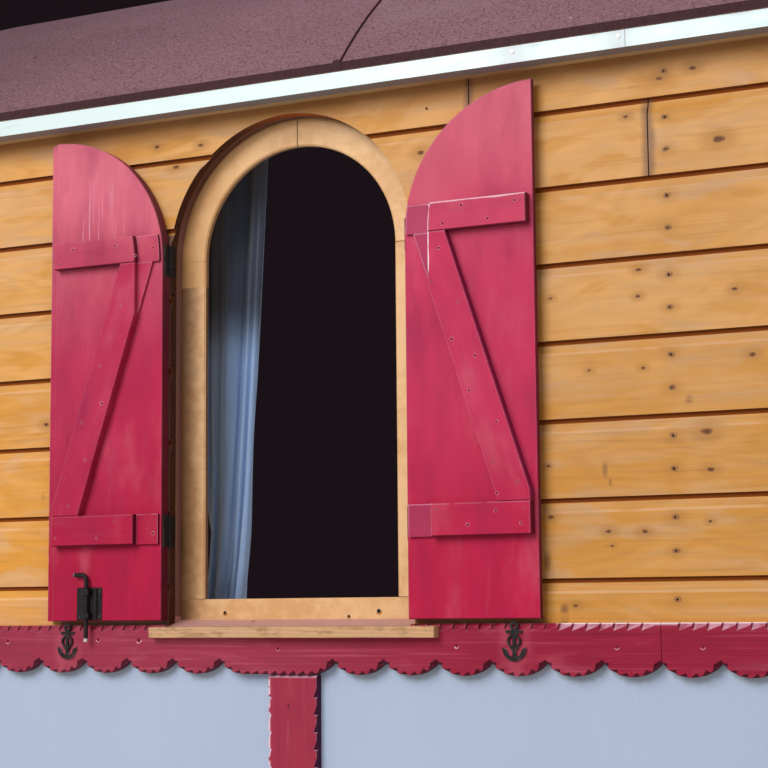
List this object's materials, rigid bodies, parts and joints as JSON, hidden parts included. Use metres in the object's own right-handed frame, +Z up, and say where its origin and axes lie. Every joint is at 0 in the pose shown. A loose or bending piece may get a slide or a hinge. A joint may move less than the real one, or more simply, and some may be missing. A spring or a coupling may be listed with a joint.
{
  "type": "vardo wagon side-wall bay with arched shuttered window",
  "caption": "Timber side-wall bay of a living wagon: boarded outside and in, arched window with hinged plank shutters, scalloped frieze and a strip of felted barrel roof over the eave.",
  "frame": {"origin": "underside of the sole plate, below the middle of the window, in the plane of the outer cladding face", "axes": "+X along the wall to the viewer's right, +Y from outside into the wagon, +Z up"},
  "size_m": [2, 0.582, 2.207],
  "materials": {
    "frame_timber": "rough sawn softwood",
    "cladding": "honey stained shiplap pine, satin",
    "casing_pine": "clear oiled pine, planed",
    "sill_pine": "weathered bare pine",
    "reveal_stain": "purple-brown stain",
    "frieze_stain": "raspberry stain, satin",
    "shutter_stain": "raspberry stain, satin",
    "panel_paint": "grey-blue gloss paint",
    "room_boards": "varnished matchboard",
    "roof_deck": "sawn boards",
    "felt": "mineral-faced bitumen felt",
    "aluminium": "mill finish strip",
    "iron": "black oiled iron",
    "rod_brass": "dull brass",
    "curtain_cloth": "blue cotton"
  },
  "bodies": {
    "wall": {"batten": "frieze_stain", "board_1": "cladding", "board_2": "cladding", "board_3": "cladding", "board_4": "cladding", "board_5": "cladding", "board_6": "cladding", "board_7": "cladding", "board_8": "cladding", "bows": "frame_timber", "casing_arch": "casing_pine", "casing_jambs": "casing_pine", "casing_rail": "casing_pine", "catch_left": "iron", "catch_right": "iron", "curtain": "curtain_cloth", "curtain_rod": "rod_brass", "drip_left": "aluminium", "drip_right": "aluminium", "eaves_filler": "frame_timber", "fascia": "frame_timber", "frieze_left": "frieze_stain", "frieze_right": "frieze_stain", "inner_boards_low": "room_boards", "inner_boards_sides": "room_boards", "inner_boards_top": "room_boards", "inner_reveal": "room_boards", "inner_sill": "room_boards", "left_hinge_wall": "iron", "lower_panel": "panel_paint", "purlin": "frame_timber", "rails": "frame_timber", "right_hinge_wall": "iron", "rod_brackets": "rod_brass", "roof_deck": "roof_deck", "roof_felt_left": "felt", "roof_felt_right": "felt", "sill_strip": "sill_pine", "soffit": "frame_timber", "sole_plate": "frame_timber", "top_plate": "frame_timber", "wall_studs": "frame_timber", "window_lining": "reveal_stain", "window_sill": "reveal_stain"},
    "left_shutter": {"left_shutter": "shutter_stain", "left_ledges": "shutter_stain", "left_brace": "shutter_stain", "left_hinge_shutter": "iron", "bolt_plate": "iron"},
    "right_shutter": {"right_shutter": "shutter_stain", "right_ledges": "shutter_stain", "right_brace": "shutter_stain", "right_hinge_shutter": "iron"},
    "bolt": {"bolt_rod": "iron"}
  },
  "joints": [
    {"name": "left_shutter_swing", "type": "hinge", "parent": "wall", "child": "left_shutter", "pos_m": [-0.2545, -0.0025, 1.2], "axis": [0, 0, 1], "range_deg": [0, 180]},
    {"name": "right_shutter_swing", "type": "hinge", "parent": "wall", "child": "right_shutter", "pos_m": [0.2545, -0.0025, 1.2], "axis": [0, 0, -1], "range_deg": [0, 180]},
    {"name": "bolt_slide", "type": "slide", "parent": "left_shutter", "child": "bolt", "axis": [0, 0, 1], "range_m": [0, 0.045]}
  ],
  "couplings": [
    {"joint": "bolt_slide", "follows": "left_shutter_swing", "m_per_rad": 0.0137}
  ]
}
